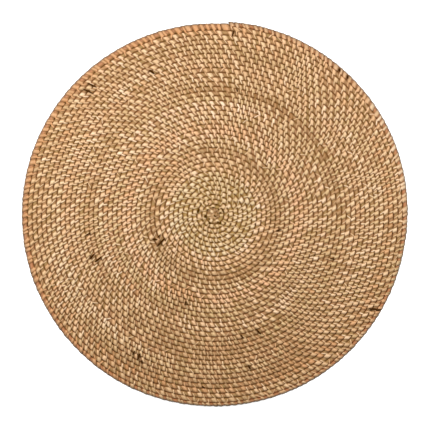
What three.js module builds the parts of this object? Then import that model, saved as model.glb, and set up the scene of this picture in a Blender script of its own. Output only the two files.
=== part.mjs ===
// A round rattan placemat: one long coil laid in a flat spiral, every turn bound to the turn inside it.
// Millimetres, +Z up. The mat lies on its flat underside at Z 0, with the middle of its outline on the Z axis.
import * as THREE from "three";

// Driving dimensions
const MAT_DIAMETER = 380;
const MAT_THICKNESS = 5;
const WHOLE_TURNS = 40;
const COIL_END_DEGREES = 85.7; // where the coil stops after its whole turns, counter-clockwise from +X
const COIL_START_RADIUS = 0.6;
const MIDDLE_HEIGHT = 4.4; // of the little button that the coil starts from
const GROOVE_DEPTH = 1.6; // from the crest of a turn down to the groove between two turns

// The two edges of a turn's crest, each by its share of the way across the turn
const CREST_EDGES = [{ across: 0.3 }, { across: 0.7 }];

// The rounded outer side of the last turn
const SHOULDER_HEIGHT = 3.8;
const SIDE_HEIGHT = 2.4; // where the side stands out furthest
const SIDE_BULGE = 0.6; // how far it stands out past the shoulder
const FOOT_INSET = 0.7; // how far the foot of the side lies inside the shoulder

// The coil's blunt end
const END_TAPER_DEGREES = 30; // the stretch over which the last turn sinks towards its end
const END_DROP = 0.9; // how much lower its crest is at the end
const END_SLANT_DEGREES = 1.4; // the cut through the coil leans back by this at its outer edge

// How far the outer edge of the last turn strays from an even spiral, by degrees past the coil's end
const EDGE_STRAY = [
  { after: 0, out: 1.4 },
  { after: 12, out: 1.15 },
  { after: 40, out: 0.95 },
  { after: 72, out: 0.8 },
  { after: 100, out: 0.15 },
  { after: 145, out: -0.95 },
  { after: 190, out: -2.2 },
  { after: 225, out: -1.45 },
  { after: 256, out: -1.2 },
  { after: 298, out: 0.45 },
  { after: 330, out: -0.05 },
  { after: 350, out: -0.55 },
  { after: 360, out: -1.25 },
];

// The fineness of the facets, and the mat's colour
const STEPS_PER_TURN = 42;
const RATTAN_COLOUR = 0xb99169;
const RATTAN_ROUGHNESS = 0.5;

const FULL_TURN = 360;
const COIL_TURNS = WHOLE_TURNS + COIL_END_DEGREES / FULL_TURN;
const COIL_STEPS = Math.round(COIL_TURNS * STEPS_PER_TURN);
const PITCH = (MAT_DIAMETER / 2 - COIL_START_RADIUS) / (COIL_TURNS + 0.5);
const GROOVE_HEIGHT = MAT_THICKNESS - GROOVE_DEPTH;

const { clamp, degToRad, lerp, smoothstep } = THREE.MathUtils;

function degreesAt(step) {
  return (step / STEPS_PER_TURN) * FULL_TURN;
}

function edgeStray(degreesAfterEnd) {
  const after = clamp(degreesAfterEnd, 0, FULL_TURN);
  const next = Math.max(1, EDGE_STRAY.findIndex((row) => row.after >= after));
  const from = EDGE_STRAY[next - 1];
  const to = EDGE_STRAY[next];
  return lerp(from.out, to.out, smoothstep(after, from.after, to.after));
}

// The line between two turns. Past the coil's own length it is the outer edge of the last turn.
function grooveRadius(step) {
  const even = COIL_START_RADIUS + (PITCH * step) / STEPS_PER_TURN;
  return step < COIL_STEPS ? even : even + edgeStray(degreesAt(step - COIL_STEPS));
}

// The groove climbs to the button at the very middle, where the coil begins.
function grooveHeight(step) {
  if (step >= COIL_STEPS) {
    return SHOULDER_HEIGHT;
  }
  return lerp(MIDDLE_HEIGHT, GROOVE_HEIGHT, Math.min(1, step / STEPS_PER_TURN));
}

function crestHeight(step) {
  const left = degreesAt(COIL_STEPS - step);
  return MAT_THICKNESS - END_DROP * (1 - smoothstep(left, 0, END_TAPER_DEGREES));
}

// A list of corners, given in polar form, and of the triangles between them
function makeSurface() {
  const corners = [];
  const triangles = [];
  const addCorner = (radius, degrees, height) => corners.push({ radius, degrees, height }) - 1;
  const addTriangle = (a, b, c) => triangles.push(a, b, c);
  const addQuad = (a, b, c, d) => {
    addTriangle(a, b, c);
    addTriangle(a, c, d);
  };
  return { corners, triangles, addCorner, addTriangle, addQuad };
}

function addGrooveLine(surface) {
  const line = [];
  const last = COIL_STEPS + STEPS_PER_TURN;
  for (let step = 0; step <= last; step += 1) {
    const lean = step === last ? END_SLANT_DEGREES : 0;
    line.push(surface.addCorner(grooveRadius(step), degreesAt(step) - lean, grooveHeight(step)));
  }
  return line;
}

function addCrestLine(surface, across) {
  const line = [];
  for (let step = 0; step <= COIL_STEPS; step += 1) {
    const lean = step === COIL_STEPS ? END_SLANT_DEGREES * across : 0;
    const radius = lerp(grooveRadius(step), grooveRadius(step + STEPS_PER_TURN), across);
    line.push(surface.addCorner(radius, degreesAt(step) - lean, crestHeight(step)));
  }
  return line;
}

// The top: crest lines along the coil, and one groove line that every turn shares with the next.
// It returns the corners of the mat's outline, counter-clockwise.
function addTop(surface) {
  const grooves = addGrooveLine(surface);
  const crests = CREST_EDGES.map(({ across }) => addCrestLine(surface, across));
  const section = (step) => [
    grooves[step],
    ...crests.map((line) => line[step]),
    grooves[step + STEPS_PER_TURN],
  ];
  for (let step = 0; step < COIL_STEPS; step += 1) {
    const here = section(step);
    const ahead = section(step + 1);
    for (let line = 1; line < here.length; line += 1) {
      surface.addQuad(here[line - 1], here[line], ahead[line], ahead[line - 1]);
    }
  }
  addMiddle(surface, grooves, section(0));
  const lastTurn = grooves.slice(COIL_STEPS);
  const endFace = section(COIL_STEPS).slice(1, -1).reverse();
  return [...lastTurn, ...endFace];
}

// The middle: a fan inside the first turn, and the small face where the coil begins
function addMiddle(surface, grooves, startSection) {
  const [middle, ...others] = startSection;
  for (let step = 1; step < STEPS_PER_TURN; step += 1) {
    surface.addTriangle(middle, grooves[step], grooves[step + 1]);
  }
  for (let line = others.length - 1; line > 0; line -= 1) {
    surface.addTriangle(middle, others[line], others[line - 1]);
  }
}

// The side: from the outline's top edge out to its widest line and in to the foot
function addSide(surface, outline) {
  const lowerEdge = (out, height) =>
    outline.map((index) => {
      const { radius, degrees } = surface.corners[index];
      return surface.addCorner(radius + out, degrees, height);
    });
  const widest = lowerEdge(SIDE_BULGE, SIDE_HEIGHT);
  const foot = lowerEdge(-FOOT_INSET, 0);
  outline.forEach((top, place) => {
    const next = (place + 1) % outline.length;
    surface.addQuad(widest[place], widest[next], outline[next], top);
    surface.addQuad(foot[place], foot[next], widest[next], widest[place]);
  });
  return foot;
}

// The underside: one flat face
function addUnderside(surface, foot) {
  const middle = surface.addCorner(0, 0, 0);
  foot.forEach((corner, place) => {
    surface.addTriangle(middle, foot[(place + 1) % foot.length], corner);
  });
}

function matGeometry() {
  const surface = makeSurface();
  const outline = addTop(surface);
  const foot = addSide(surface, outline);
  addUnderside(surface, foot);
  const points = surface.corners.map(({ radius, degrees, height }) => {
    const angle = degToRad(degrees);
    return new THREE.Vector3(radius * Math.cos(angle), radius * Math.sin(angle), height);
  });
  const geometry = new THREE.BufferGeometry().setFromPoints(points);
  geometry.setIndex(surface.triangles);
  geometry.computeBoundingBox();
  const centre = geometry.boundingBox.getCenter(new THREE.Vector3());
  geometry.translate(-centre.x, -centre.y, 0);
  geometry.computeVertexNormals();
  return geometry;
}

const rattan = new THREE.MeshStandardMaterial({
  color: RATTAN_COLOUR,
  roughness: RATTAN_ROUGHNESS,
  metalness: 0,
});

const mat = new THREE.Mesh(matGeometry(), rattan);
mat.name = "mat";

const placemat = new THREE.Group();
placemat.add(mat);

export default placemat;
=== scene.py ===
"""A round rattan placemat: one coiled core, bound turn to turn by strips of split rattan."""
import math

import bmesh
import bpy
import numpy as np
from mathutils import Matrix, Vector, noise


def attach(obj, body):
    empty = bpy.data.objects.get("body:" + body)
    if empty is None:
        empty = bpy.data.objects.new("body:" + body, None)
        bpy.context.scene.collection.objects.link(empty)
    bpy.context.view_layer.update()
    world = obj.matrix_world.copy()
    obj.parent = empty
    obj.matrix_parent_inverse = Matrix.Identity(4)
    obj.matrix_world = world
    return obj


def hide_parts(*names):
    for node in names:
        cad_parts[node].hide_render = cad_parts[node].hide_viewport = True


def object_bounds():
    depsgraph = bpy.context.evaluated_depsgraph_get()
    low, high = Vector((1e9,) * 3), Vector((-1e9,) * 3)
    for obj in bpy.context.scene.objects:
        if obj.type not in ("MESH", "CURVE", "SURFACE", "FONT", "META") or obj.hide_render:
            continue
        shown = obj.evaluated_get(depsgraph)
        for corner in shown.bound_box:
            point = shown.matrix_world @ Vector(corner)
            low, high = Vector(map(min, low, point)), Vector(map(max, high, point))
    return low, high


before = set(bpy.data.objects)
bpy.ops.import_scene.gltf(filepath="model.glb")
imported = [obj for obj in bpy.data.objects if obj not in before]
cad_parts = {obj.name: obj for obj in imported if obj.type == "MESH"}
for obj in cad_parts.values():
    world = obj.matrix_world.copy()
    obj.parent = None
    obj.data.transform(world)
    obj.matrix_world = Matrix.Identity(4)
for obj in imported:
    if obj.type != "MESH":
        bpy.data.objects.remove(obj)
cad_low, cad_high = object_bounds()

MM = 0.001
FULL_TURN = 2 * math.pi
FULL_TURN_DEGREES = 360
SEED = 41
draws = np.random.default_rng(SEED)

# The coil, in millimetres: a flat spiral that runs outward counter-clockwise
MAT_DIAMETER = 380.0
EYE = np.array((-0.785, -1.351))  # the coil's own middle, a little off the middle of the mat's outline
START_RADIUS = 0.6
WHOLE_TURNS = 40
COIL_END_DEGREES = 85.7  # where the coil stops after its whole turns, counter-clockwise from +X
COIL_TURNS = WHOLE_TURNS + COIL_END_DEGREES / FULL_TURN_DEGREES
LAST_TURN_START = COIL_TURNS - 1
PITCH = (MAT_DIAMETER / 2 - START_RADIUS) / (COIL_TURNS + 0.5)
SIDE_BULGE = 0.6  # how far the last turn's side stands out past its upper edge
RIM_EDGE = 2.0  # how far in from the outline the painted shade of the outer side reaches

# The coil's blunt end
END_TAPER_TURNS = 30 / FULL_TURN_DEGREES  # the stretch over which the last turn sinks towards its end
END_DROP = 0.06  # the share of its height that it loses there
END_ROUNDING_LENGTH = 2.6
END_ROUNDING = END_ROUNDING_LENGTH / (FULL_TURN * MAT_DIAMETER / 2)  # the same length in turns
END_BLUNTNESS = 0.97  # how far along a quarter ellipse the rounding goes before the flat end
END_STEPS = 8

# How far the outer edge of the last turn strays from an even spiral, by degrees past the coil's end
EDGE_STRAY = (
    {"after": 0, "out": 1.4},
    {"after": 12, "out": 1.15},
    {"after": 40, "out": 0.95},
    {"after": 72, "out": 0.8},
    {"after": 100, "out": 0.15},
    {"after": 145, "out": -0.95},
    {"after": 190, "out": -2.2},
    {"after": 225, "out": -1.45},
    {"after": 256, "out": -1.2},
    {"after": 298, "out": 0.45},
    {"after": 330, "out": -0.05},
    {"after": 350, "out": -0.55},
    {"after": 360, "out": -1.25},
)

# The core inside the wraps
CORE_OVERLAP = 0.1  # how far each turn reaches into its neighbours
CORE_HALF_HEIGHT = 1.7
CORE_MIDDLE = 2.4
CORE_START_TURN = 0.45
CORE_STEPS_PER_TURN = 180
CORE_SIDES = 8
CORE_MERGE = 0.01  # points nearer than this become one
OLIVE_CORE_RADII = (30, 60)  # the core is olive up to the first radius, and not at all past the second

# The knot that the coil starts from: an uneven button, with short ends of strips matted into it
KNOT_RADIUS = 7.6
KNOT_TOP = 3.9
KNOT_FULLNESS = 0.98  # the share of the height from the floor to its top that the button fills
KNOT_FLATNESS = 0.4
KNOT_ROUGHNESS = 0.8
KNOT_EDGE_STRAY = 0.1
KNOT_BUMPS = ({"fineness": 2.6, "strength": 1.0}, {"fineness": 6.0, "strength": 0.6})
KNOT_BUTTON_SUBDIVISIONS = 4
LUMP_SUBDIVISIONS = 2
KNOT_STRIPS = 22
KNOT_STRIP_SPREAD = 0.85  # the share of the button's top that they lie on
KNOT_STRIP_LIFTS = (0, 0.4)
KNOT_STRIP_LENGTHS = (2.0, 4.2)
KNOT_STRIP_WIDTHS = (1.0, 1.6)
KNOT_STRIP_THICKNESS = 1.4
KNOT_STRIP_SWAY = 0.7  # in radians, about the way round the eye

# How many wraps bind a turn, by its number
WRAPS_BY_TURN = (
    {"turn": 0.5, "wraps": 6},
    {"turn": 4.5, "wraps": 23},
    {"turn": 10.5, "wraps": 42},
    {"turn": 15.5, "wraps": 56},
    {"turn": 17.5, "wraps": 72},
    {"turn": 25.5, "wraps": 96},
    {"turn": 30.5, "wraps": 110},
    {"turn": 31.5, "wraps": 123},
    {"turn": 33.5, "wraps": 128},
)
RIM_WRAPS = 200  # on the last turn
FIRST_WRAPPED_TURN = 0.2
FIRST_TAILED_TURN = 2
LAST_WRAP_INSET = 0.0026  # in turns, from the coil's end
LAST_WRAPPED_TURN = COIL_TURNS - LAST_WRAP_INSET

# Where a stitch lies in a gap between two wraps of the turn inside it, as shares of the gap
ONE_IN_GAP = (0.5,)
TWO_IN_GAP = (0.24, 0.76)
TAIL_IN_GAP = 0.41
WRAP_STRAY = 0.05
WRAP_AHEAD = 0.4  # in millimetres

# Where a wrap of the last turn lies, as shares of the distance between two of them
RIM_WRAP_MIDDLE = 0.5
RIM_WRAP_STRAY = 0.2
RIM_TAIL_LEAN = 0.3
LAST_WRAP_CLEARANCE = 0.5

# The path of one stitch, from its tail on the inner turn over its own turn and round below it.
# across: turns outward from the stitch's own crest; height: millimetres; broad: 0 in the tail, 1 in the
# wrap; crown: how far the strip's middle stands above its edges; dip: how far its clockwise edge sinks
STITCH_PATH = (
    {"across": -1.42, "height": 2.50, "broad": 0.00, "crown": 0.20, "dip": 0.0},
    {"across": -1.25, "height": 4.05, "broad": 0.00, "crown": 0.32, "dip": 0.0},
    {"across": -0.90, "height": 4.55, "broad": 0.00, "crown": 0.38, "dip": 0.0},
    {"across": -0.61, "height": 4.10, "broad": 0.04, "crown": 0.36, "dip": 0.0},
    {"across": -0.53, "height": 3.85, "broad": 0.80, "crown": 0.38, "dip": 0.8},
    {"across": -0.40, "height": 4.36, "broad": 1.00, "crown": 0.50, "dip": 0.2},
    {"across": 0.21, "height": 4.36, "broad": 1.00, "crown": 0.50, "dip": 0.0},
    {"across": 0.35, "height": 3.20, "broad": 0.98, "crown": 0.36, "dip": 0.0},
    {"across": 0.46, "height": 1.90, "broad": 0.95, "crown": 0.40, "dip": 0.0},
    {"across": 0.10, "height": 0.45, "broad": 0.90, "crown": 0.40, "dip": 0.0},
    {"across": -0.30, "height": 0.75, "broad": 0.90, "crown": 0.40, "dip": 0.0},
)
INNER_GROOVE = -0.5  # across, the groove between the stitch's own turn and the turn inside it
TAIL_BREADTH = 0.5  # a row of the path that is less broad than this belongs to the tail
HIDDEN_HEIGHT = 2.4  # a stitch without a tail has it tucked into the core about this height
HIDDEN_SCALE = 0.1

# The strip's section, its width and its lean
STRIP_SIDES = 6
STRIP_UNDERSIDE = 0.4  # how far its underside bulges
STRIP_FLATNESS = 0.4  # less than 1 squares off its edges
WRAP_SHARE = 0.51  # of the distance between two wraps
RIM_WRAP_SHARE = 0.74
WRAP_WIDTH_SPREAD = 0.15
TAIL_WIDTH = 1.5
TAIL_WIDTH_SPREAD = 0.18
TAIL_START_SHARE = 0.35  # where on the wrap's inner end the tail leaves, as a share of its width
TAIL_START_SPREAD = 0.06
WRAP_LEAN = 0.6  # forward along the coil for each millimetre outward
WRAP_LEAN_SPREAD = 0.14
LEANING_STRETCH = (-0.55, 0.35)  # across, the stretch over which a wrap leans
UPRIGHT_RADII = (12, 75)  # a wrap leans less near the eye
UPRIGHT_LEAN_SHARE = 0.25
LIFT_SPREAD = 0.12
LIFT_ABOVE = 3.0  # the height above which a stitch is lifted or pressed down as a whole

# Near the eye the wraps are shorter and broader, and the tails thinner and a little darker
EYE_REACH = (12, 90)  # the radii between which this fades
EYE_SHORTENING = 0.13
SHORTENED_REACH = 0.2  # across, about the inner groove
EYE_BROADENING = 0.22
EYE_TAIL_THINNING = 0.3
TAIL_BRIGHTENING = (-0.02, 0.08)  # of the tone, at each end of that reach
SMALLEST_RADIUS = 0.35  # no point lies nearer to the eye than this
SMALLEST_BEND = 1.5  # nor does a strip's width curve round it more tightly

# The wraps of the last turn bulge on its outer side
RIM_SCALLOP = 0.25
RIM_SCALLOP_SPREAD = 0.12
RIM_SCALLOP_FROM = 0.4  # across, where the bulge is whole
RIM_CROWN = 1.5  # times the crown of the path
RIM_CROWN_FROM = 0.3  # across, where that starts

# Heights between which painted shade darkens a surface down into a groove
GROOVE_TOP = 4.05
GROOVE_DARK = 3.05

# The strip's colour along the coil: from this turn on, its tone, from 0 brown to 1 straw, and its tint,
# from -1 olive to 1 orange
STRIP_RUNS = (
    {"turn": 0.0, "tone": 0.42, "tint": -0.4},
    {"turn": 1.4, "tone": 0.49, "tint": -0.6},
    {"turn": 3.0, "tone": 0.565, "tint": -0.6},
    {"turn": 6.0, "tone": 0.67, "tint": -0.4},
    {"turn": 9.5, "tone": 0.58, "tint": -0.2},
    {"turn": 10.8, "tone": 0.49, "tint": -0.1},
    {"turn": 11.65, "tone": 0.42, "tint": 0.1},
    {"turn": 15.3, "tone": 0.49, "tint": 0.2},
    {"turn": 16.1, "tone": 0.55, "tint": 0.3},
    {"turn": 18.8, "tone": 0.525, "tint": 0.05},
    {"turn": 21.4, "tone": 0.48, "tint": 0.05},
    {"turn": 22.7, "tone": 0.58, "tint": 0.0},
    {"turn": 25.05, "tone": 0.51, "tint": 0.0},
    {"turn": 25.45, "tone": 0.36, "tint": 0.0},
    {"turn": 25.6, "tone": 0.47, "tint": 0.0},
    {"turn": 25.8, "tone": 0.35, "tint": 0.1},
    {"turn": 26.0, "tone": 0.22, "tint": 0.1},
    {"turn": 26.28, "tone": 0.46, "tint": 0.1},
    {"turn": 26.42, "tone": 0.36, "tint": 0.3},
    {"turn": 26.6, "tone": 0.47, "tint": 0.0},
    {"turn": 28.6, "tone": 0.40, "tint": 0.1},
    {"turn": 28.96, "tone": 0.50, "tint": 0.0},
    {"turn": 30.7, "tone": 0.56, "tint": 0.0},
    {"turn": 33.9, "tone": 0.49, "tint": 0.1},
    {"turn": 39.24, "tone": 0.52, "tint": 0.8},
    {"turn": 39.33, "tone": 0.49, "tint": 0.5},
    {"turn": 39.65, "tone": 0.41, "tint": 0.3},
    {"turn": 39.92, "tone": 0.48, "tint": 0.4},
    {"turn": 40.1, "tone": 0.42, "tint": 1.0},
)
STRIP_LENGTH_IN_WRAPS = 32
STRIP_TONE_SPREAD = 0.06
STITCH_TONE_SPREAD = 0.055
STRIP_TINT_SPREAD = 0.35
STITCH_TINT_SPREAD = 0.14

# Patches where the strips are darker or paler: where each lies about the eye, its reach along the coil and
# across it, and how it changes the strip's tone and tint
# Most of the darker ones lie between 235 and 310 degrees, which makes the lower part of the mat darker.
TONE_PATCHES = (
    {"degrees": 205, "radius": 64, "along": 12, "across": 4, "tone": -0.18, "tint": 0.2},
    {"degrees": 295, "radius": 66, "along": 14, "across": 4, "tone": -0.18, "tint": 0.2},
    {"degrees": 245, "radius": 66, "along": 14, "across": 4, "tone": -0.12, "tint": 0.1},
    {"degrees": 80, "radius": 68, "along": 14, "across": 4, "tone": -0.12, "tint": 0.1},
    {"degrees": 122, "radius": 106, "along": 4, "across": 4, "tone": -0.35, "tint": 0.6},
    {"degrees": 235, "radius": 106, "along": 24, "across": 4, "tone": -0.20, "tint": 0.1},
    {"degrees": 250, "radius": 93.5, "along": 8, "across": 4, "tone": -0.20, "tint": 0.1},
    {"degrees": 245, "radius": 88, "along": 24, "across": 8, "tone": -0.12, "tint": 0.1},
    {"degrees": 130, "radius": 111, "along": 80, "across": 9, "tone": 0.07, "tint": 0.0},
    {"degrees": 298, "radius": 162, "along": 28, "across": 8, "tone": -0.16, "tint": 0.4},
    {"degrees": 272, "radius": 165, "along": 85, "across": 16, "tone": -0.16, "tint": 0.0},
    {"degrees": 240, "radius": 172, "along": 60, "across": 16, "tone": -0.12, "tint": 0.1},
    {"degrees": 272, "radius": 136, "along": 85, "across": 26, "tone": -0.16, "tint": 0.1},
    {"degrees": 285, "radius": 104, "along": 85, "across": 7, "tone": -0.20, "tint": 0.0},
    {"degrees": 255, "radius": 118, "along": 190, "across": 4, "tone": 0.03, "tint": 0.0},
    {"degrees": 310, "radius": 172, "along": 60, "across": 14, "tone": -0.10, "tint": 0.1},
    {"degrees": 70, "radius": 160, "along": 45, "across": 12, "tone": -0.08, "tint": 0.0},
    {"degrees": 305, "radius": 146, "along": 70, "across": 10, "tone": -0.06, "tint": 0.1},
    {"degrees": 345, "radius": 168, "along": 60, "across": 8, "tone": 0.05, "tint": 0.0},
    {"degrees": 0, "radius": 179, "along": 110, "across": 5, "tone": -0.07, "tint": 0.1},
    {"degrees": 70, "radius": 112, "along": 40, "across": 3, "tone": 0.12, "tint": 0.0},
    {"degrees": 172, "radius": 116, "along": 45, "across": 3, "tone": 0.12, "tint": 0.0},
    {"degrees": 150, "radius": 145, "along": 30, "across": 5, "tone": 0.12, "tint": 0.0},
    {"degrees": 180, "radius": 40, "along": 22, "across": 9, "tone": 0.14, "tint": -0.1},
    {"degrees": 330, "radius": 45, "along": 20, "across": 8, "tone": 0.08, "tint": 0.0},
    {"degrees": 80, "radius": 46, "along": 30, "across": 8, "tone": -0.08, "tint": 0.0},
)

# Dark slivers between the strips: where each lies, its length and width, and its lean in degrees from the
# way out of the eye
SLIVERS = (
    {"at": (-53, -28), "long": 12, "wide": 2.0, "lean": 20},
    {"at": (-59, -25), "long": 5, "wide": 2.0, "lean": -30},
    {"at": (-55, -22), "long": 5, "wide": 1.3, "lean": 25},
    {"at": (-75, -141), "long": 8, "wide": 2.2, "lean": 10},
    {"at": (-72, -146), "long": 4, "wide": 1.7, "lean": 25},
    {"at": (-80, -137), "long": 5, "wide": 1.6, "lean": 0},
    {"at": (43, -116), "long": 8, "wide": 1.8, "lean": 20},
    {"at": (27, -121), "long": 5, "wide": 1.4, "lean": 20},
    {"at": (34, -151), "long": 5, "wide": 1.7, "lean": 15},
    {"at": (-115, -45), "long": 9, "wide": 2.0, "lean": 18},
    {"at": (-121, -42), "long": 8, "wide": 1.9, "lean": 30},
    {"at": (-125, -20), "long": 6, "wide": 1.4, "lean": 20},
    {"at": (-62, 140), "long": 7, "wide": 2.1, "lean": 30},
    {"at": (-125, 121), "long": 12, "wide": 1.7, "lean": 20},
    {"at": (-121, 127), "long": 11, "wide": 1.6, "lean": 20},
    {"at": (63, -16), "long": 6, "wide": 1.4, "lean": 25},
    {"at": (-29, -88), "long": 5, "wide": 1.5, "lean": 5},
    {"at": (-11, -171), "long": 4, "wide": 1.5, "lean": 60},
    {"at": (18, 178), "long": 6, "wide": 1.8, "lean": -5},
    {"at": (22, 122), "long": 4, "wide": 1.2, "lean": 25},
    {"at": (116, -44), "long": 5, "wide": 1.2, "lean": 15},
    {"at": (158, -94), "long": 13, "wide": 2.1, "lean": 25},
    {"at": (123, 142), "long": 4, "wide": 1.8, "lean": 40},
    {"at": (131, 135), "long": 4, "wide": 1.4, "lean": 40},
)
SLIVER_HEIGHT = 5.3
MARK_THICKNESS = 0.8

# Painted shade of the dark holes in and around the knot, as dark lumps laid over it, given in the same way
KNOT_HOLE_SHADES = (
    {"at": (-9.5, -2.5), "long": 3.4, "wide": 1.9, "lean": 85},
    {"at": (0, -2), "long": 2.6, "wide": 1.5, "lean": 0},
    {"at": (-5.5, -5), "long": 2.0, "wide": 1.4, "lean": 60},
    {"at": (-5, -9), "long": 2.6, "wide": 2.0, "lean": 80},
    {"at": (3, -8), "long": 2.4, "wide": 1.6, "lean": 50},
    {"at": (5.5, -9), "long": 2.6, "wide": 1.8, "lean": 80},
    {"at": (6, 1), "long": 2.4, "wide": 1.3, "lean": 90},
    {"at": (8, 3.5), "long": 4.5, "wide": 1.2, "lean": 95},
    {"at": (3.5, 5), "long": 2.2, "wide": 1.4, "lean": 60},
    {"at": (-1.5, 6.5), "long": 3.6, "wide": 1.2, "lean": 90},
    {"at": (-7, 4), "long": 2.6, "wide": 1.3, "lean": 80},
    {"at": (-16, 3), "long": 5.0, "wide": 1.6, "lean": 86},
    {"at": (-4.5, 8.5), "long": 2.0, "wide": 1.2, "lean": 95},
    {"at": (1.5, 9), "long": 2.0, "wide": 1.2, "lean": 70},
)
HOLE_HEIGHT = 5.05

# The binding's pieces, each with the turn that it starts from
BINDINGS = (
    {"name": "binding_inner", "turn": 0},
    {"name": "binding_middle", "turn": 18},
    {"name": "binding_outer", "turn": 27},
    {"name": "binding_rim", "turn": 34},
)

# The colours of the strip, the core, the knot and the dark marks, and those of the painted shade at the
# strip's edges, in the grooves, over the rim's outer side and in the knot's holes
STRIP_BROWN = (0.175, 0.082, 0.018)
STRIP_TAN = (0.605, 0.395, 0.212)
STRIP_STRAW = (0.90, 0.72, 0.53)
STRIP_ORANGE = (0.60, 0.27, 0.11)
STRIP_OLIVE = (0.44, 0.32, 0.12)
# the browner cut edge, with painted shade where the strip curves down at its sides
STRIP_EDGE_SHADE = (0.23, 0.085, 0.010)
CORE_OLIVE = (0.300, 0.186, 0.072)
CORE_RED = (0.350, 0.190, 0.090)
CORE_RIM_RED = (0.40, 0.175, 0.080)
EYE_OLIVE = (0.33, 0.210, 0.070)
# painted shade down in the grooves
GROOVE_SHADE_BROWN = (0.175, 0.054, 0.001)
# painted shade over the rim's outer side, which faces away from the light above
RIM_SIDE_SHADE = (0.060, 0.042, 0.024)
KNOT_DARK = (0.16, 0.08, 0.014)
KNOT_TAN = (0.32, 0.185, 0.080)
KNOT_PALE = (0.50, 0.31, 0.155)
SLIVER_DARK = (0.028, 0.010, 0.002)
SLIVER_BROWN = (0.065, 0.024, 0.004)
# painted shade in the knot's holes
HOLE_SHADE_DARK = (0.040, 0.016, 0.001)
HOLE_SHADE_BROWN = (0.09, 0.040, 0.002)

# The finish of the strip: its fibres, its cut edges, browner and with painted shade along them, its tint
# and its gloss, and how sharply the painted shade over the rim's outer side sets in
FIBRES_ACROSS = 1.5
FIBRES_ALONG = 2.0
FIBRE_SHIFT = 500.0  # sets every stitch in a part of the pattern of its own
FIBRE_FINENESS = 2.0
FIBRE_CONTRAST = 0.7
FIBRE_BUMP = 0.25
FIBRE_BUMP_HEIGHT = 0.2
EDGE_SHARPNESS = 2.5
EDGE_SHADE_STRENGTH = 0.9
TINT_STRENGTH = 0.45
STRIP_GLOSS_ROUGHNESS = 0.28
FIBRE_ROUGHNESS = 0.25
RATTAN_SPECULAR = 0.15
GROOVE_DULLNESS = 0.5
# how sharply the painted shade over the rim's outer side sets in
RIM_SIDE_SHADE_SHARPNESS = 0.9

# The finish of the core, the knot and the dark marks
CORE_FLECKS = 130.0
CORE_ROUGHNESS = 0.6
KNOT_FLECKS = 420.0
KNOT_DULLNESS = 0.6
KNOT_SPECULAR = 0.2
MARK_FLECKS = 900.0
MARK_ROUGHNESS = 0.8
NOISE_DETAIL = 3

# The floor, the light and the camera, in metres, watts and pixels of the photograph
FLOOR_SIZE = 6.0
FLOOR_WHITE = (0.95, 0.95, 0.95)
FLOOR_GREY = (0.93, 0.93, 0.93)
FLOOR_FLECKS = 30.0
FLOOR_ROUGHNESS = 0.9
FLOOR_GLOW = 0.7
WORLD_STRENGTH = 0.38
SOFTBOX_SIZE = 0.45
SOFTBOXES = (
    {"name": "softbox_left", "at": (-0.55, 0.28, 0.62), "power": 7.7},
    {"name": "softbox_right", "at": (0.55, 0.28, 0.62), "power": 6.2},
)
PHOTO_PIXELS = 430
MAT_PIXELS = 385.2
MAT_CENTRE_PIXEL = (214.75, 213.91)
CAMERA_HEIGHT = 1.6
SENSOR_MM = 36


# The coil's geometry

def column(rows, name):
    return np.array([row[name] for row in rows], float)


def smooth_steps(where, at, values):
    """Values at the places asked, easing from each row of a table to the next."""
    row = np.clip(np.searchsorted(at, where) - 1, 0, len(at) - 2)
    share = np.clip((where - at[row]) / (at[row + 1] - at[row]), 0, 1)
    share = share * share * (3 - 2 * share)
    return values[row] + share * (values[row + 1] - values[row])


def groove_radius(turns):
    """The line between two turns, and past the coil's own length the outer edge of the last turn."""
    past_end = (turns - COIL_TURNS) * FULL_TURN_DEGREES
    after = np.clip(past_end, 0, FULL_TURN_DEGREES)
    stray = smooth_steps(after, column(EDGE_STRAY, "after"), column(EDGE_STRAY, "out")) + SIDE_BULGE
    return START_RADIUS + PITCH * turns + np.where(past_end > 0, stray, 0)


def end_sinking(turns):
    """The share of its height that the coil keeps, which falls towards its end."""
    left = (COIL_TURNS - turns) / END_TAPER_TURNS
    return 1 - END_DROP * np.clip(1 - left, 0, 1)


def place(radius, turns, height):
    """Points in metres in the part's frame, from the coil's own polar coordinates in millimetres."""
    angle = FULL_TURN * turns
    flat = np.stack((radius * np.cos(angle), radius * np.sin(angle)), axis=-1) + EYE
    return np.concatenate((flat, height[..., None]), axis=-1) * MM


def from_eye(points):
    """How far each point lies from the eye along X and along Y, in millimetres."""
    flat = points[..., :2] / MM - EYE
    return flat[..., 0], flat[..., 1]


def outer_side_share(points, reach):
    """How far each point lies over the rim's outer side: 0 at this reach inside the edge, 1 at the edge."""
    x, y = from_eye(points)
    past_end = (np.arctan2(y, x) / FULL_TURN - COIL_TURNS) % 1
    return np.clip((np.hypot(x, y) - groove_radius(COIL_TURNS + past_end)) / reach + 1, 0, 1)


def sunk_share(points):
    """How far each point lies down in a groove, which sets the painted shade there: 0 on the crests and on
    the underside, 1 deep down.
    """
    height = points[..., 2] / MM
    depth = np.clip((GROOVE_TOP - height) / (GROOVE_TOP - GROOVE_DARK), 0, 1)
    return depth * np.clip(height / GROOVE_DARK, 0, 1) * (1 - outer_side_share(points, PITCH / 2))


# Pieces and the values on their points

def add_object(name, mesh, material):
    mesh.materials.append(material)
    mesh.shade_smooth()
    piece = bpy.data.objects.new(name, mesh)
    bpy.context.scene.collection.objects.link(piece)
    return piece


def new_piece(name, bm, material):
    mesh = bpy.data.meshes.new(name)
    bm.to_mesh(mesh)
    bm.free()
    return add_object(name, mesh, material)


def mesh_points(piece):
    return np.array([vertex.co for vertex in piece.data.vertices])


def set_values(mesh, values):
    for name, value in values.items():
        layer = mesh.attributes.new(name, "FLOAT", "POINT")
        layer.data.foreach_set("value", np.asarray(value, np.float32).ravel())


def depth_values(points):
    return {"sunk": sunk_share(points), "rim": outer_side_share(points, RIM_EDGE)}


# The core, the knot and the dark marks

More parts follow.
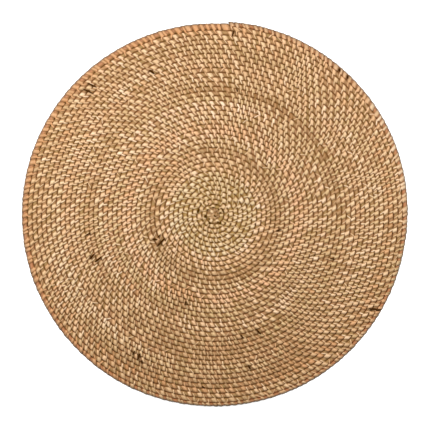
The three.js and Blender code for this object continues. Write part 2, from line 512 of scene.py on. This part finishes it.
def make_core(material):
    """One long rod coiled into a spiral."""
    steps = round(COIL_TURNS * CORE_STEPS_PER_TURN)
    bm = bmesh.new()
    bmesh.ops.create_grid(bm, x_segments=steps, y_segments=CORE_SIDES, size=0.5)
    grid = np.array([vertex.co for vertex in bm.verts])
    share = grid[:, 0] + 0.5
    last_steps = 1 - END_STEPS / steps
    round_from = COIL_TURNS - END_ROUNDING
    turns = np.interp(share, (0, last_steps, 1), (CORE_START_TURN, round_from, COIL_TURNS))
    kept = np.sqrt(1 - np.clip((turns - round_from) / END_ROUNDING, 0, END_BLUNTNESS) ** 2)
    around = grid[:, 1] * FULL_TURN
    inner = groove_radius(turns)
    outer = groove_radius(turns + 1)
    half_width = ((outer - inner) / 2 + CORE_OVERLAP) * kept
    radius = inner - CORE_OVERLAP + half_width * (1 + np.cos(around))
    height = (CORE_MIDDLE + CORE_HALF_HEIGHT * kept * np.sin(around)) * end_sinking(turns)
    for vertex, point in zip(bm.verts, place(radius, turns, height)):
        vertex.co = point
    bmesh.ops.remove_doubles(bm, verts=bm.verts, dist=CORE_MERGE * MM)
    bmesh.ops.holes_fill(bm, edges=[edge for edge in bm.edges if edge.is_boundary])
    bmesh.ops.recalc_face_normals(bm, faces=bm.faces)
    core = new_piece("coil_core", bm, material)
    points = mesh_points(core)
    set_values(core.data, depth_values(points))
    set_values(core.data, {
        "near_eye": np.interp(np.hypot(*from_eye(points)), OLIVE_CORE_RADII, (1, 0)),
        "near_rim": outer_side_share(points, PITCH) > 0,
    })
    return core


def add_lump(bm, middle, size, turned):
    """A rounded lump with this middle and these full sizes, in millimetres, turned by this angle."""
    made = bmesh.ops.create_icosphere(bm, subdivisions=LUMP_SUBDIVISIONS, radius=0.5)
    for vertex in made["verts"]:
        long, wide, thick = (share * full for share, full in zip(vertex.co, size))
        x = middle[0] + long * math.cos(turned) - wide * math.sin(turned)
        y = middle[1] + long * math.sin(turned) + wide * math.cos(turned)
        vertex.co = Vector((x, y, middle[2] + thick)) * MM


def add_knot_strip(bm):
    """A short end of a strip, matted into the knot and lying about along its edge."""
    away = KNOT_RADIUS * math.sqrt(draws.uniform(0, KNOT_STRIP_SPREAD))
    around = draws.uniform(0, FULL_TURN)
    height = KNOT_TOP + draws.uniform(*KNOT_STRIP_LIFTS)
    middle = (EYE[0] + away * math.cos(around), EYE[1] + away * math.sin(around), height)
    size = (draws.uniform(*KNOT_STRIP_LENGTHS), draws.uniform(*KNOT_STRIP_WIDTHS), KNOT_STRIP_THICKNESS)
    add_lump(bm, middle, size, around + draws.normal(FULL_TURN / 4, KNOT_STRIP_SWAY))


def make_knot(material):
    """The uneven button at the middle, under the first wraps."""
    bm = bmesh.new()
    bmesh.ops.create_icosphere(bm, subdivisions=KNOT_BUTTON_SUBDIVISIONS, radius=1)
    for vertex in bm.verts:
        uneven = sum(bump["strength"] * noise.noise(vertex.co * bump["fineness"]) for bump in KNOT_BUMPS)
        reach = KNOT_RADIUS * (1 + KNOT_EDGE_STRAY * uneven)
        steep = math.copysign(abs(vertex.co.z) ** KNOT_FLATNESS, vertex.co.z)
        height = KNOT_TOP / 2 * (1 + KNOT_FULLNESS * steep) + KNOT_ROUGHNESS * max(steep, 0) * uneven
        vertex.co = Vector((EYE[0] + reach * vertex.co.x, EYE[1] + reach * vertex.co.y, height)) * MM
    for _ in range(KNOT_STRIPS):
        add_knot_strip(bm)
    knot = new_piece("eye_knot", bm, material)
    set_values(knot.data, depth_values(mesh_points(knot)))
    return knot


def make_dark_marks(name, rows, height, material):
    """Thin dark lumps: splinters of the strips' skin; also painted shade over the holes of the knot."""
    bm = bmesh.new()
    for row in rows:
        x, y = row["at"]
        outward = math.atan2(y - EYE[1], x - EYE[0])
        size = (row["long"], row["wide"], MARK_THICKNESS)
        add_lump(bm, (x, y, height), size, outward + math.radians(row["lean"]))
    return new_piece(name, bm, material)


# The stitches

def wraps_in_turn(turn):
    return np.interp(turn, column(WRAPS_BY_TURN, "turn"), column(WRAPS_BY_TURN, "wraps"))


def stitch_places():
    """Walks outward along the coil, and sets each stitch in a gap of the turn inside it.

    Returns the turns at which the wraps and their tails lie, and which of them have a tail."""
    first = round(wraps_in_turn(0))
    wraps = [i / first for i in range(first + 1)]
    tails = list(wraps)
    tailed = [False] * len(wraps)
    surplus = 0.0
    gap = 0
    while wraps[-1] < LAST_TURN_START:
        start, end = wraps[gap], wraps[gap + 1]
        turn = (start + end) / 2 + 1
        radius = START_RADIUS + PITCH * (turn + 0.5)
        ahead = WRAP_AHEAD / (FULL_TURN * radius)
        surplus += (end - start) * wraps_in_turn(turn) - 1
        shares = ONE_IN_GAP
        if surplus >= 1:
            surplus -= 1
            shares = TWO_IN_GAP
        for place_in_gap, share in enumerate(shares):
            stray = draws.normal(0, WRAP_STRAY)
            wraps.append(1 + start + (end - start) * (share + stray) + ahead)
            tails.append(1 + start + (end - start) * (TAIL_IN_GAP + stray / 2))
            tailed.append(place_in_gap == 0 and turn >= FIRST_TAILED_TURN)
        gap += 1
    inside = np.array(wraps) < LAST_TURN_START
    rim_wraps, rim_tails, rim_tailed = rim_places(np.array(wraps[gap:]))
    wraps = np.concatenate((np.array(wraps)[inside], rim_wraps))
    tails = np.concatenate((np.array(tails)[inside], rim_tails))
    tailed = np.concatenate((np.array(tailed)[inside], rim_tailed))
    kept = (wraps >= FIRST_WRAPPED_TURN) & (wraps <= LAST_WRAPPED_TURN)
    return wraps[kept], tails[kept], tailed[kept]


def rim_places(inner_wraps):
    """The close wraps of the last turn. One for each gap of the turn inside it sends a tail there."""
    strays = draws.normal(RIM_WRAP_MIDDLE, RIM_WRAP_STRAY, RIM_WRAPS)
    wraps = LAST_TURN_START + (np.arange(RIM_WRAPS) + strays) / RIM_WRAPS
    clear_of_last = wraps < LAST_WRAPPED_TURN - LAST_WRAP_CLEARANCE / RIM_WRAPS
    wraps = np.append(wraps[clear_of_last], LAST_WRAPPED_TURN)
    tails = wraps.copy()
    tailed = np.zeros(len(wraps), bool)
    crossings = 1 + inner_wraps[:-1] + np.diff(inner_wraps) * TAIL_IN_GAP
    for crossing in crossings[crossings < COIL_TURNS]:
        nearest = np.argmin(np.abs(wraps - crossing - RIM_TAIL_LEAN / RIM_WRAPS))
        tails[nearest] = crossing
        tailed[nearest] = True
    return wraps, tails, tailed


def strip_template():
    """A rod of a few sides along Z, with a ring for each row of the stitch's path.

    Returns the ring of each point, its place across the strip and its height above it, and the faces."""
    rings = len(STITCH_PATH)
    bm = bmesh.new()
    bmesh.ops.create_cone(bm, cap_ends=True, segments=STRIP_SIDES, radius1=1, radius2=1, depth=rings - 1)
    long_edges = [edge for edge in bm.edges if edge.verts[0].co.z != edge.verts[1].co.z]
    bmesh.ops.subdivide_edges(bm, edges=long_edges, cuts=rings - 2)
    bmesh.ops.recalc_face_normals(bm, faces=bm.faces)
    points = np.array([vertex.co for vertex in bm.verts])
    faces = [[vertex.index for vertex in face.verts] for face in bm.faces]
    bm.free()
    ring = np.rint(points[:, 2] + (rings - 1) / 2).astype(int)
    across = np.sign(points[:, 0]) * np.abs(points[:, 0]) ** STRIP_FLATNESS
    return ring, across, points[:, 1], faces


def path_normals():
    """The outward direction at each row of the path: outward along the mat, and up."""
    step_out = np.gradient(column(STITCH_PATH, "across") * PITCH)
    step_up = np.gradient(column(STITCH_PATH, "height"))
    length = np.hypot(step_out, step_up)
    return -step_up / length, step_out / length


def stitch_points(wraps, tails, tailed, spacing, template):
    """Every point of every stitch, in metres: one row for a stitch, one column for a template point."""
    ring, across_strip, above_strip, _ = template

    def vary(mean, spread):
        return draws.normal(mean, spread, (len(wraps), 1))

    across = column(STITCH_PATH, "across")[ring]
    broad = column(STITCH_PATH, "broad")[ring]
    sinking = column(STITCH_PATH, "dip")[ring] * (1 - across_strip) / 2
    path_height = column(STITCH_PATH, "height")[ring] - sinking
    in_tail = broad < TAIL_BREADTH
    hidden = in_tail & ~tailed[:, None]
    across = np.where(hidden, INNER_GROOVE + HIDDEN_SCALE * (across - INNER_GROOVE), across)
    path_height = np.where(hidden, HIDDEN_HEIGHT + HIDDEN_SCALE * path_height, path_height)

    on_rim = (wraps > LAST_TURN_START)[:, None]
    normal_out, normal_up = path_normals()
    rise = above_strip * np.where(above_strip > 0, column(STITCH_PATH, "crown")[ring], STRIP_UNDERSIDE)
    rise = rise * np.where(on_rim & (above_strip > 0) & (across > RIM_CROWN_FROM), RIM_CROWN, 1)

    inner = groove_radius(wraps)[:, None]
    outer = groove_radius(wraps + 1)[:, None]
    crest = (inner + outer) / 2
    near_eye = np.interp(crest, EYE_REACH, (1, 0))
    across = across + near_eye * EYE_SHORTENING * (np.abs(across - INNER_GROOVE) < SHORTENED_REACH)
    wrap_share = np.where(on_rim, RIM_WRAP_SHARE, WRAP_SHARE) * (1 + EYE_BROADENING * near_eye)
    wrap_width = spacing[:, None] * wrap_share * vary(1, WRAP_WIDTH_SPREAD)
    tail_width = TAIL_WIDTH * (1 - EYE_TAIL_THINNING * near_eye) * vary(1, TAIL_WIDTH_SPREAD)

    lean = vary(WRAP_LEAN, WRAP_LEAN_SPREAD) * np.interp(crest, UPRIGHT_RADII, (UPRIGHT_LEAN_SHARE, 1))
    tail_at = ((tails - wraps) * FULL_TURN)[:, None] * np.maximum(crest - PITCH, PITCH / 2)
    tail_from = wrap_width * vary(TAIL_START_SHARE, TAIL_START_SPREAD) - lean * PITCH / 2
    tail_line = tail_at + (across + 1) / (INNER_GROOVE + 1) * (tail_from - tail_at)
    wrap_line = lean * np.clip(across, *LEANING_STRETCH) * PITCH
    half_width = ((1 - broad) * tail_width + broad * wrap_width) / 2
    along = (1 - broad) * tail_line + broad * wrap_line + half_width * across_strip

    own_turn = crest + across * (outer - inner)
    inner_turn = inner + (across - INNER_GROOVE) * PITCH
    bulge = np.where(on_rim, vary(RIM_SCALLOP, RIM_SCALLOP_SPREAD), 0)
    bulge = bulge * np.clip(across / RIM_SCALLOP_FROM, 0, 1)
    radius = np.where(in_tail, inner_turn, own_turn) + normal_out[ring] * rise + bulge
    radius = np.maximum(radius, SMALLEST_RADIUS)
    turns = wraps[:, None] + along / (FULL_TURN * np.maximum(radius, SMALLEST_BEND))
    lift = vary(0, LIFT_SPREAD) * np.clip(path_height - LIFT_ABOVE, 0, 1)
    height = path_height + normal_up[ring] * rise + lift
    height = height * np.where(in_tail, 1, end_sinking(wraps)[:, None])
    return place(radius, turns, np.maximum(height, 0))


def strip_colours(wraps):
    """The tone and tint of every stitch."""
    run = np.searchsorted(column(STRIP_RUNS, "turn"), wraps, side="right") - 1
    strip = np.cumsum(draws.random(len(wraps)) < 1 / STRIP_LENGTH_IN_WRAPS)

    def vary(name, strip_spread, stitch_spread):
        by_strip = draws.normal(0, strip_spread, strip[-1] + 1)[strip]
        return column(STRIP_RUNS, name)[run] + by_strip + draws.normal(0, stitch_spread, len(wraps))

    tone = vary("tone", STRIP_TONE_SPREAD, STITCH_TONE_SPREAD)
    tint = vary("tint", STRIP_TINT_SPREAD, STITCH_TINT_SPREAD)
    radius = START_RADIUS + PITCH * (wraps + 0.5)
    for patch in TONE_PATCHES:
        turned = (wraps - patch["degrees"] / FULL_TURN_DEGREES + 0.5) % 1 - 0.5
        along = turned * FULL_TURN * radius / patch["along"]
        across = (radius - patch["radius"]) / patch["across"]
        share = np.exp(-along ** 2 - across ** 2)
        tone = tone + share * patch["tone"]
        tint = tint + share * patch["tint"]
    return tone, tint


def joined_mesh(name, points, faces):
    """One mesh of many copies of the template's faces."""
    copies, size = points.shape[:2]
    corners = np.array([index for face in faces for index in face])
    loops = (corners[None, :] + np.arange(copies)[:, None] * size).ravel()
    totals = np.tile([len(face) for face in faces], copies)
    mesh = bpy.data.meshes.new(name)
    mesh.vertices.add(copies * size)
    mesh.vertices.foreach_set("co", points.astype(np.float32).ravel())
    mesh.loops.add(len(loops))
    mesh.loops.foreach_set("vertex_index", loops.astype(np.int32))
    mesh.polygons.add(len(totals))
    mesh.polygons.foreach_set("loop_start", (np.cumsum(totals) - totals).astype(np.int32))
    mesh.update(calc_edges=True)
    mesh.validate()
    return mesh


def make_bindings(material):
    """The stitches of the whole mat, as a few joined pieces from the middle to the rim."""
    wraps, tails, tailed = stitch_places()
    middle_radius = (groove_radius(wraps) + groove_radius(wraps + 1)) / 2
    spacing = np.gradient(wraps) * FULL_TURN * middle_radius
    template = strip_template()
    ring, across_strip, _, faces = template
    points = stitch_points(wraps, tails, tailed, spacing, template)
    tone, tint = strip_colours(wraps)
    in_tail = 1 - column(STITCH_PATH, "broad")[ring]
    brightening = np.interp(middle_radius, EYE_REACH, TAIL_BRIGHTENING)
    tone = tone[:, None] + brightening[:, None] * in_tail
    grain = draws.random(len(wraps))
    pieces = []
    ends = [row["turn"] for row in BINDINGS[1:]] + [COIL_TURNS]
    for row, end in zip(BINDINGS, ends):
        part = (wraps >= row["turn"]) & (wraps < end)
        shape = points[part].shape[:2]
        mesh = joined_mesh(row["name"], points[part], faces)
        set_values(mesh, {
            "tone": tone[part],
            "tint": np.broadcast_to(tint[part][:, None], shape),
            "grain": np.broadcast_to(grain[part][:, None], shape),
            "across": np.broadcast_to(across_strip, shape),
            "along": np.broadcast_to(ring / (len(STITCH_PATH) - 1), shape),
            **depth_values(points[part]),
        })
        pieces.append(add_object(row["name"], mesh, material))
    return pieces


# The materials' nodes

def new_material(name):
    material = bpy.data.materials.new(name)
    material.use_nodes = True
    tree = material.node_tree
    return material, tree, tree.nodes["Principled BSDF"]


def attribute(tree, name):
    node = tree.nodes.new("ShaderNodeAttribute")
    node.attribute_name = name
    return node.outputs["Fac"]


def math_node(tree, operation, *values, clamp=False):
    node = tree.nodes.new("ShaderNodeMath")
    node.operation = operation
    node.use_clamp = clamp
    for socket, value in zip(node.inputs, values):
        if isinstance(value, (int, float)):
            socket.default_value = value
        else:
            tree.links.new(value, socket)
    return node.outputs[0]


def socket_with(sockets, identifier):
    """One of a Mix node's sockets, whose names repeat."""
    return next(socket for socket in sockets if socket.identifier == identifier)


def blend(tree, share, colour, other):
    """A colour that goes over to another one by this share."""
    node = tree.nodes.new("ShaderNodeMix")
    node.data_type = "RGBA"
    tree.links.new(share, socket_with(node.inputs, "Factor_Float"))
    tree.links.new(colour, socket_with(node.inputs, "A_Color"))
    socket_with(node.inputs, "B_Color").default_value = (*other, 1)
    return socket_with(node.outputs, "Result_Color")


def colour_ramp(tree, value, stops):
    node = tree.nodes.new("ShaderNodeValToRGB")
    elements = node.color_ramp.elements
    while len(elements) < len(stops):
        elements.new(1)
    for element, (position, colour) in zip(elements, stops.items()):
        element.position = position
        element.color = (*colour, 1)
    tree.links.new(value, node.inputs["Fac"])
    return node.outputs["Color"]


def noise_texture(tree, vector, fineness):
    node = tree.nodes.new("ShaderNodeTexNoise")
    node.inputs["Scale"].default_value = fineness
    node.inputs["Detail"].default_value = NOISE_DETAIL
    tree.links.new(vector, node.inputs["Vector"])
    return node.outputs["Fac"]


def flecks(tree, fineness):
    """Flecks all through a piece, fixed to its own coordinates."""
    coordinates = tree.nodes.new("ShaderNodeTexCoord")
    return noise_texture(tree, coordinates.outputs["Object"], fineness)


def with_painted_shade(tree, colour):
    """A colour with painted shade: it turns dark brown down in the grooves and over the rim's outer side.
    """
    # painted shade down in the grooves
    colour = blend(tree, attribute(tree, "sunk"), colour, GROOVE_SHADE_BROWN)
    # painted shade over the rim's outer side, which faces away from the light above
    rim = math_node(tree, "POWER", attribute(tree, "rim"), RIM_SIDE_SHADE_SHARPNESS)
    return blend(tree, rim, colour, RIM_SIDE_SHADE)


def duller_in_grooves(tree, shader, roughness):
    """Sets a roughness that rises to that of dust down in the grooves."""
    rise = math_node(tree, "MULTIPLY", attribute(tree, "sunk"), GROOVE_DULLNESS)
    tree.links.new(math_node(tree, "ADD", rise, roughness, clamp=True), shader.inputs["Roughness"])
    shader.inputs["Specular IOR Level"].default_value = RATTAN_SPECULAR


# The materials

def strip_fibres(tree, across):
    """Fibres that run along each strip."""
    on_strip = tree.nodes.new("ShaderNodeCombineXYZ")
    tree.links.new(math_node(tree, "MULTIPLY", across, FIBRES_ACROSS), on_strip.inputs["X"])
    along = math_node(tree, "MULTIPLY", attribute(tree, "along"), FIBRES_ALONG)
    tree.links.new(along, on_strip.inputs["Y"])
    shift = math_node(tree, "MULTIPLY", attribute(tree, "grain"), FIBRE_SHIFT)
    tree.links.new(shift, on_strip.inputs["Z"])
    return noise_texture(tree, on_strip.outputs["Vector"], FIBRE_FINENESS)


def rattan_strip():
    """Split rattan: glossy skin with grain along the strip, browner at its cut edges, with painted shade
    along them where the strip curves down.
    """
    material, tree, shader = new_material("rattan_strip")
    across = attribute(tree, "across")
    fibres = strip_fibres(tree, across)
    tone = math_node(tree, "MULTIPLY_ADD", fibres, FIBRE_CONTRAST, -FIBRE_CONTRAST / 2)
    tone = math_node(tree, "ADD", attribute(tree, "tone"), tone)
    colour = colour_ramp(tree, tone, {0.0: STRIP_BROWN, 0.5: STRIP_TAN, 1.0: STRIP_STRAW})
    tint = attribute(tree, "tint")
    orange = math_node(tree, "MULTIPLY", tint, TINT_STRENGTH, clamp=True)
    olive = math_node(tree, "MULTIPLY", tint, -TINT_STRENGTH, clamp=True)
    colour = blend(tree, orange, colour, STRIP_ORANGE)
    colour = blend(tree, olive, colour, STRIP_OLIVE)
    # painted shade along the strip's edges, where it curves down to the core, over the browner cut edge
    edge = math_node(tree, "POWER", math_node(tree, "ABSOLUTE", across), EDGE_SHARPNESS)
    colour = blend(tree, math_node(tree, "MULTIPLY", edge, EDGE_SHADE_STRENGTH), colour, STRIP_EDGE_SHADE)
    tree.links.new(with_painted_shade(tree, colour), shader.inputs["Base Color"])
    roughness = math_node(tree, "MULTIPLY_ADD", fibres, FIBRE_ROUGHNESS, STRIP_GLOSS_ROUGHNESS)
    duller_in_grooves(tree, shader, roughness)
    bump = tree.nodes.new("ShaderNodeBump")
    bump.inputs["Strength"].default_value = FIBRE_BUMP
    bump.inputs["Distance"].default_value = FIBRE_BUMP_HEIGHT * MM
    tree.links.new(fibres, bump.inputs["Height"])
    tree.links.new(bump.outputs["Normal"], shader.inputs["Normal"])
    return material


def core_cane():
    """The dry core that shows between the stitches."""
    material, tree, shader = new_material("core_cane")
    colour = colour_ramp(tree, flecks(tree, CORE_FLECKS), {0.38: CORE_OLIVE, 0.62: CORE_RED})
    colour = blend(tree, attribute(tree, "near_eye"), colour, EYE_OLIVE)
    colour = blend(tree, attribute(tree, "near_rim"), colour, CORE_RIM_RED)
    tree.links.new(with_painted_shade(tree, colour), shader.inputs["Base Color"])
    duller_in_grooves(tree, shader, CORE_ROUGHNESS)
    return material


def knot_fibre():
    """The matted strips of the knot."""
    material, tree, shader = new_material("knot_fibre")
    stops = {0.34: KNOT_DARK, 0.46: KNOT_TAN, 0.7: KNOT_PALE}
    colour = colour_ramp(tree, flecks(tree, KNOT_FLECKS), stops)
    tree.links.new(with_painted_shade(tree, colour), shader.inputs["Base Color"])
    shader.inputs["Roughness"].default_value = KNOT_DULLNESS
    shader.inputs["Specular IOR Level"].default_value = KNOT_SPECULAR
    return material


def dark_skin_and_shade(name, darkest, palest):
    """The dark skin of a splinter; also the painted shade in a hole."""
    material, tree, shader = new_material(name)
    colour = colour_ramp(tree, flecks(tree, MARK_FLECKS), {0.3: darkest, 0.7: palest})
    tree.links.new(colour, shader.inputs["Base Color"])
    shader.inputs["Roughness"].default_value = MARK_ROUGHNESS
    shader.inputs["Specular IOR Level"].default_value = 0
    return material


def floor_paper():
    """Plain pale paper, which glows a little so that it stays white."""
    material, tree, shader = new_material("floor_paper")
    colour = colour_ramp(tree, flecks(tree, FLOOR_FLECKS), {0.0: FLOOR_GREY, 1.0: FLOOR_WHITE})
    tree.links.new(colour, shader.inputs["Base Color"])
    shader.inputs["Roughness"].default_value = FLOOR_ROUGHNESS
    shader.inputs["Emission Color"].default_value = (*FLOOR_WHITE, 1)
    shader.inputs["Emission Strength"].default_value = FLOOR_GLOW
    return material


# The floor, the light and the camera

def make_floor():
    bm = bmesh.new()
    bmesh.ops.create_grid(bm, x_segments=1, y_segments=1, size=FLOOR_SIZE / 2)
    floor = new_piece("floor", bm, floor_paper())


def add_softbox(name, location, power):
    light = bpy.data.lights.new(name, "AREA")
    light.shape = "DISK"
    light.size = SOFTBOX_SIZE
    light.energy = power
    lamp = bpy.data.objects.new(name, light)
    lamp.location = location
    lamp.rotation_mode = "QUATERNION"
    lamp.rotation_quaternion = (-Vector(location)).to_track_quat("-Z", "Y")
    bpy.context.scene.collection.objects.link(lamp)


def make_light():
    world = bpy.data.worlds.new("studio")
    world.use_nodes = True
    background = world.node_tree.nodes["Background"]
    background.inputs["Color"].default_value = (1, 1, 1, 1)
    background.inputs["Strength"].default_value = WORLD_STRENGTH
    bpy.context.scene.world = world
    for softbox in SOFTBOXES:
        add_softbox(softbox["name"], softbox["at"], softbox["power"])
    bpy.context.scene.view_settings.view_transform = "Standard"


def make_camera():
    """Straight above the mat, framed as in the photograph."""
    metres_per_pixel = MAT_DIAMETER * MM / MAT_PIXELS
    camera = bpy.data.cameras.new("camera")
    camera.sensor_width = SENSOR_MM
    camera.lens = SENSOR_MM * CAMERA_HEIGHT / (PHOTO_PIXELS * metres_per_pixel)
    lens = bpy.data.objects.new("camera", camera)
    middle = PHOTO_PIXELS / 2
    lens.location = (
        (middle - MAT_CENTRE_PIXEL[0]) * metres_per_pixel,
        (MAT_CENTRE_PIXEL[1] - middle) * metres_per_pixel,
        CAMERA_HEIGHT + cad_high.z,
    )
    bpy.context.scene.collection.objects.link(lens)
    bpy.context.scene.camera = lens


make_camera()
make_light()
make_floor()
core = make_core(core_cane())
sliver_skin = dark_skin_and_shade("sliver_skin", SLIVER_DARK, SLIVER_BROWN)
hole_shade = dark_skin_and_shade("hole_shade", HOLE_SHADE_DARK, HOLE_SHADE_BROWN)
bindings = [
    make_knot(knot_fibre()),
    make_dark_marks("dark_slivers", SLIVERS, SLIVER_HEIGHT, sliver_skin),
    make_dark_marks("knot_hole_shades", KNOT_HOLE_SHADES, HOLE_HEIGHT, hole_shade),
    *make_bindings(rattan_strip()),
]
for piece in [core, *bindings]:
    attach(piece, "root")
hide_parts("mat")
